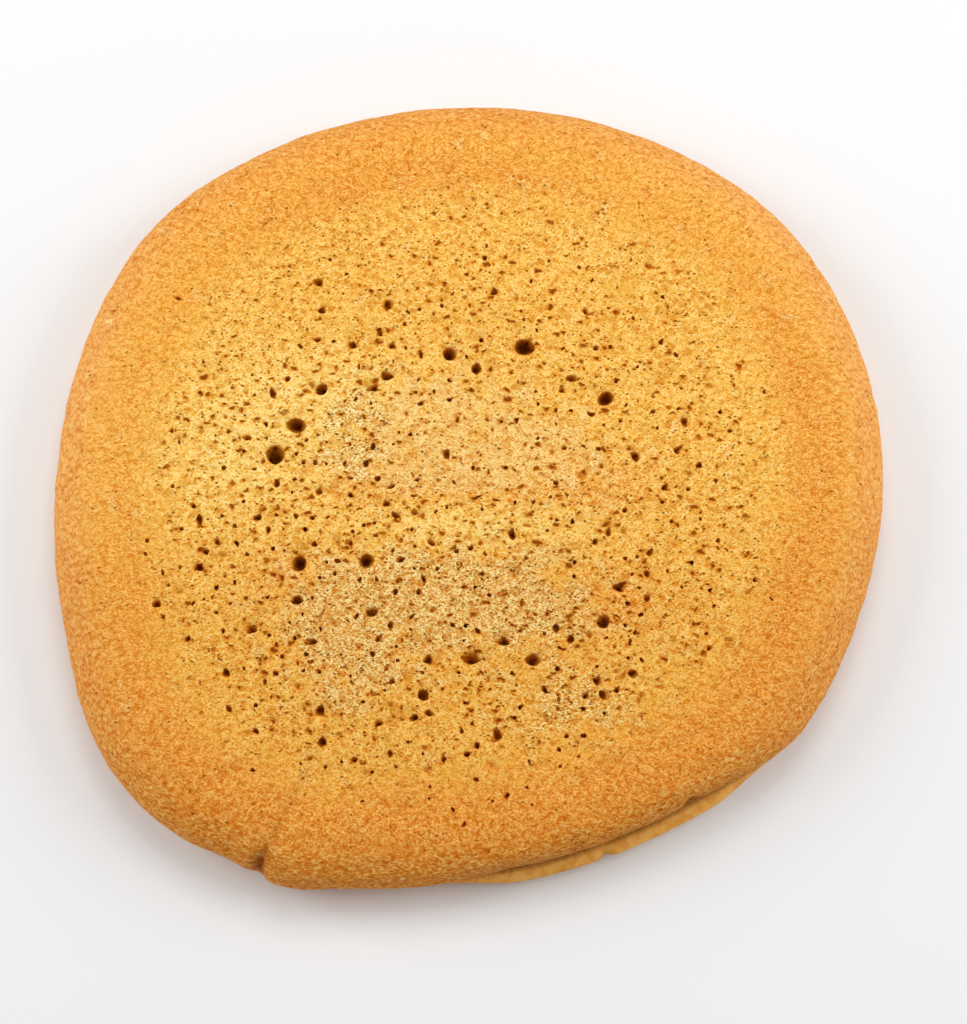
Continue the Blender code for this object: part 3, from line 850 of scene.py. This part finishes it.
def sponge_material(colours):
    """Golden, pitted crumb that closes to a wrinkled skin on the rim and browns underneath."""
    material = bpy.data.materials.new("golden_crumb_and_skin")
    material.use_nodes = True
    tree = material.node_tree
    shader = tree.nodes["Principled BSDF"]
    start = Shade(tree)

    def attribute(name, output="Fac"):
        return start.node("ShaderNodeAttribute", {"attribute_name": name}, None, output)

    def vectors(operation, first, second, name=1):
        settings = {"operation": operation}
        return start.node("ShaderNodeVectorMath", settings, {0: first, name: second})

    sink = attribute("sink")
    rim, field, near_half_shade, under, skirt, groove = (attribute(name) for name in ZONES)
    pale, bright, toast_and_shade, speckled = (attribute(name) for name in PATCH_KINDS)
    flat, folds = attribute("flat", "Vector"), attribute("folds", "Vector")

    # Places to draw on: the skin laid flat, turned, and stirred so that nothing runs straight.
    stir = vectors("SUBTRACT", flat.noise(STIR_LENGTH, output="Color"), (0.5, 0.5, 0.5))
    ends = {"Vector": vectors("MULTIPLY", flat, GRAIN_STRETCH), "Angle": GRAIN_TURN}
    turned = start.node("ShaderNodeVectorRotate", {"rotation_type": "Z_AXIS"}, ends)
    stirred = vectors("ADD", turned, stir)
    nudged = vectors("ADD", turned, vectors("SCALE", stir, 0.4, "Scale"))

    # What is drawn on them.
    patch = flat.noise(PATCH_LENGTH, 1.0)
    open_crumb = (field + (patch - 0.5) * 1.2).step(0.0, 0.9)
    strength = 0.85 - 0.1 * rim + 0.1 * open_crumb + 0.15 * near_half_shade
    grain = turned.noise(GRAIN_LENGTH, 2.0, 0.75)
    mottle = stirred.noise(MOTTLE_LENGTH, 1.0)
    fine = nudged.noise(FINE_LENGTH, 2.0, 0.7)
    near, chance = nudged.cells(PIT_LENGTH)[:2]
    wide_near, wide_chance, wide_size = stirred.cells(PORE_LENGTH)
    wide_near = wide_near * (1.7 - 1.1 * wide_size)
    fold = folds.noise(FOLD_LENGTH, 2.0, 0.6, "3D")

    # Pits, pinholes and pores with painted shade in them, and how light each bit of the crumb and of
    # the skin is, with painted glints and painted shade on the skin's wrinkles.
    whitish = (pale + (patch - 0.5) * 1.6).step(0.25, 0.95)
    speckle = (speckled + (patch - 0.5) * 1.6).step(0.25, 0.95)
    wrinkled = rim.step(0.45, 0.9) * (1.0 - skirt)
    pits = (1.0 - near.step(0.08, 0.40)) * (chance + 0.2 * speckle).step(0.6, 0.8)
    pits = pits * (0.4 + 0.6 * open_crumb) + (1.0 - fine.step(0.32, 0.42)) * (0.9 * speckle)
    pinhole = (chance + 0.02 * open_crumb + 0.06 * speckle + 0.05 * (patch - 0.5)).step(0.98, 0.99)
    pinholes = (1.0 - near.step(0.22, 0.42)) * pinhole
    # Painted shade of shallow dips that the mesh lacks, drawn as amber smudges.
    dips = (1.0 - mottle.step(0.25, 0.52)) * (1.0 - 0.6 * open_crumb)
    cell_dip_shade = (1.0 - wide_near.step(0.1, 0.6)) * (1.0 - wide_chance.step(0.35, 0.5))
    cell_dip_shade = cell_dip_shade * (0.4 + 0.6 * open_crumb)
    open_pore = (wide_chance + 0.06 * field + 0.1 * bright).step(0.83, 0.92) * open_crumb
    pores = (1.0 - wide_near.step(0.10, 0.28)) * open_pore
    cores = (1.0 - wide_near.step(0.06, 0.18)) * open_pore
    pore_ring_shade = (1.0 - wide_near.step(0.15, 0.65)) * open_pore
    # On the wrinkled skin the level follows the folds: its light bits are painted glints and its dark
    # bits painted shade between the wrinkles.
    level = 0.75 * grain + 0.25 * mottle
    level = level + wrinkled * (0.75 * fold + 0.25 * mottle - level)

    # The colour, from the ground up.
    colour = rim.mix(tuple(colours.crumb), tuple(colours.skin))
    # Browner on the toasted ring and patches, and as painted shade on the near and far rim, where the
    # rim is darkened as well.
    colour = (toast_and_shade * (0.5 + patch)).mix(colour, tuple(colours.toast))
    colour = (toast_and_shade * rim * 0.3).stain(colour, colours.amber)
    colour = (bright * (patch + 0.45)).mix(colour, tuple(colours.bright))
    colour = (whitish * 0.6).mix(colour, tuple(colours.pale))
    # The light bits: pale walls of the crumb, and painted glints on the skin.
    light = (0.3 + 0.7 * open_crumb).mix(tuple(colours.glint), tuple(colours.cream))
    light = (0.3 * bright + 0.3 * whitish).mix(light, tuple(colours.fleck))
    colour = ((level + 0.04 * bright).step(0.43, 0.70) * strength).mix(colour, light)
    clumps = mottle.step(0.30, 0.55) * speckle
    colour = (fine.step(0.50, 0.60) * clumps).mix(colour, tuple(colours.fleck))
    # The crumb's darker mottle; on the skin, painted shade between the wrinkles.
    colour = ((1.0 - level.step(0.28, 0.55)) * strength).stain(colour, colours.amber)
    # Painted shade of the shallow dips.
    colour = (dips * 0.4).stain(colour, colours.amber)
    colour = (cell_dip_shade * 0.8).stain(colour, colours.amber)
    colour = pore_ring_shade.stain(colour, colours.amber)
    # Painted shade in the pits, pores and pinholes that the mesh doesn't open: dark cores, and an
    # amber ring round each pore.
    colour = pits.stain(colour, colours.pit)
    colour = pores.stain(colour, colours.pit)
    colour = cores.stain(colour, colours.hollow)
    colour = pinholes.stain(colour, colours.hollow)
    # Painted glints on the crests of the rim's wrinkles, stronger where it is browner.
    crest_glints = wrinkled * fold.step(0.60, 0.74) * (0.2 + 0.7 * toast_and_shade)
    colour = crest_glints.mix(colour, tuple(colours.cream))
    # Painted shade that deepens with depth under the top: amber in shallow hollows, darker down the
    # holes.
    stirred_sink = sink + (level - 0.5) - 0.6 * rim - 0.3 * (1.0 - field)
    colour = stirred_sink.step(0.15, 0.45).stain(colour, colours.amber)
    colour = stirred_sink.step(0.4, 1.15).stain(colour, colours.hollow)
    colour = stirred_sink.step(1.2, 3.0).stain(colour, colours.hollow)
    place = start.node("ShaderNodeTexCoord", output=3)
    blotch = place.noise(BLOTCH_LENGTH, 2.0, 0.6, "3D")
    colour = skirt.mix(colour, tuple(colours.skirt))
    colour = (skirt * (1.0 - blotch.step(0.35, 0.62)) * 0.6).stain(colour, colours.amber)
    # Painted shade in the groove and in the creases.
    colour = groove.stain(colour, colours.groove)
    # Painted shade over the near half, kept off the skirt.
    colour = (near_half_shade * (0.3 - 0.3 * skirt)).stain(colour, colours.amber)
    colour = (under * (0.55 + 0.9 * patch)).mix(colour, tuple(colours.baked))

    # The finest relief, in millimetres.
    height = 0.12 * grain - 0.05 * pits - 0.1 * pinholes - 0.25 * pores + wrinkled * 0.22 * fold
    normal = start.node("ShaderNodeBump", None, {"Height": height, "Distance": MM, "Strength": 1.0})
    for name, value in (("Base Color", colour), ("Normal", normal)):
        tree.links.new(value.socket, shader.inputs[name])
    shader.inputs["Roughness"].default_value = 0.6
    shader.inputs["Specular IOR Level"].default_value = 0.05
    return material


class PANCAKE_OT_sponge(bpy.types.Operator):
    """Makes the pancake: its body, its steam holes, its creases and its finish"""

    bl_idname = "pancake.sponge"
    bl_label = "Pancake"

    def execute(self, context):
        sizes = context.scene.pancake_sizes
        holes = steam_holes(sizes)
        body, centre = add_body(sizes)
        relieve(sizes, body, centre, holes)
        cut(body, add_bubbles(sizes, holes))
        soften(sizes, body, holes)
        record_places(sizes, body, centre, holes)
        only(body)
        bpy.ops.object.shade_smooth_by_angle(angle=math.radians(50))
        body.data.materials.clear()
        body.data.materials.append(sponge_material(context.scene.pancake_colours))
        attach(body, "root")
        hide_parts("pancake")
        return {"FINISHED"}


def add_light(name, place, size, power):
    """A large square light that faces the pancake."""
    data = bpy.data.lights.new(name, "AREA")
    data.energy = power
    data.size = size
    light = bpy.data.objects.new(name, data)
    light.location = place
    light.rotation_euler = (-Vector(place)).to_track_quat("-Z", "Y").to_euler()
    bpy.context.scene.collection.objects.link(light)


def add_camera():
    back = Vector((0.0, -math.cos(CAMERA_RISE), math.sin(CAMERA_RISE)))
    up = Vector((0.0, math.sin(CAMERA_RISE), math.cos(CAMERA_RISE)))
    data = bpy.data.cameras.new("camera")
    data.lens = CAMERA_LENS
    camera = bpy.data.objects.new("camera", data)
    camera.location = CAMERA_AIM + back * CAMERA_DISTANCE - up * CAMERA_DROP
    camera.rotation_euler = (-back).to_track_quat("-Z", "Y").to_euler()
    bpy.context.scene.collection.objects.link(camera)
    bpy.context.scene.camera = camera


class PANCAKE_OT_stage(bpy.types.Operator):
    """Adds the plain floor, the soft lights and the camera"""

    bl_idname = "pancake.stage"
    bl_label = "Stage"

    def execute(self, context):
        stage = context.scene.pancake_stage
        bpy.ops.object.select_all(action="DESELECT")
        bpy.ops.mesh.primitive_plane_add(size=FLOOR_WIDTH)
        floor = context.object
        floor.name = "floor"
        material = bpy.data.materials.new("plain_floor")
        material.use_nodes = True
        shader = material.node_tree.nodes["Principled BSDF"]
        shader.inputs["Base Color"].default_value = tuple(stage.floor)
        shader.inputs["Roughness"].default_value = 0.9
        floor.data.materials.append(material)
        (x, y, z), width = SIDE_LIGHT
        add_light("far light", *FAR_LIGHT, stage.far_power)
        add_light("left light", (-x, y, z), width, stage.side_power)
        add_light("right light", (x, y, z), width, stage.side_power)
        world = bpy.data.worlds.new("soft sky")
        world.use_nodes = True
        world.node_tree.nodes["Background"].inputs["Strength"].default_value = stage.sky
        world.node_tree.nodes["Background"].inputs["Color"].default_value = (1.0, 1.0, 1.0, 1.0)
        context.scene.world = world
        context.scene.view_settings.view_transform = "Standard"
        add_camera()
        return {"FINISHED"}


class PANCAKE_PT_panel(bpy.types.Panel):
    """Lists the sizes, the colours and the operators"""

    bl_label = "Pancake"
    bl_idname = "PANCAKE_PT_panel"
    bl_space_type = "VIEW_3D"
    bl_region_type = "UI"
    bl_category = "Pancake"

    def draw(self, context):
        for name in ("pancake_sizes", "pancake_colours", "pancake_stage"):
            group = getattr(context.scene, name)
            box = self.layout.box()
            for key in group.bl_rna.properties.keys():
                if key not in ("name", "rna_type"):
                    box.prop(group, key)
        self.layout.operator(PANCAKE_OT_sponge.bl_idname)
        self.layout.operator(PANCAKE_OT_stage.bl_idname)


GROUPS = {
    "pancake_sizes": PancakeSizes,
    "pancake_colours": PancakeColours,
    "pancake_stage": PancakeStage,
}
CLASSES = (*GROUPS.values(), PANCAKE_OT_sponge, PANCAKE_OT_stage, PANCAKE_PT_panel)


def register():
    for cls in CLASSES:
        bpy.utils.register_class(cls)
    for name, group in GROUPS.items():
        setattr(bpy.types.Scene, name, bpy.props.PointerProperty(type=group))


def unregister():
    for name in GROUPS:
        delattr(bpy.types.Scene, name)
    for cls in reversed(CLASSES):
        bpy.utils.unregister_class(cls)


def main():
    register()
    bpy.ops.pancake.sponge()
    bpy.ops.pancake.stage()


if __name__ == "__main__":
    main()
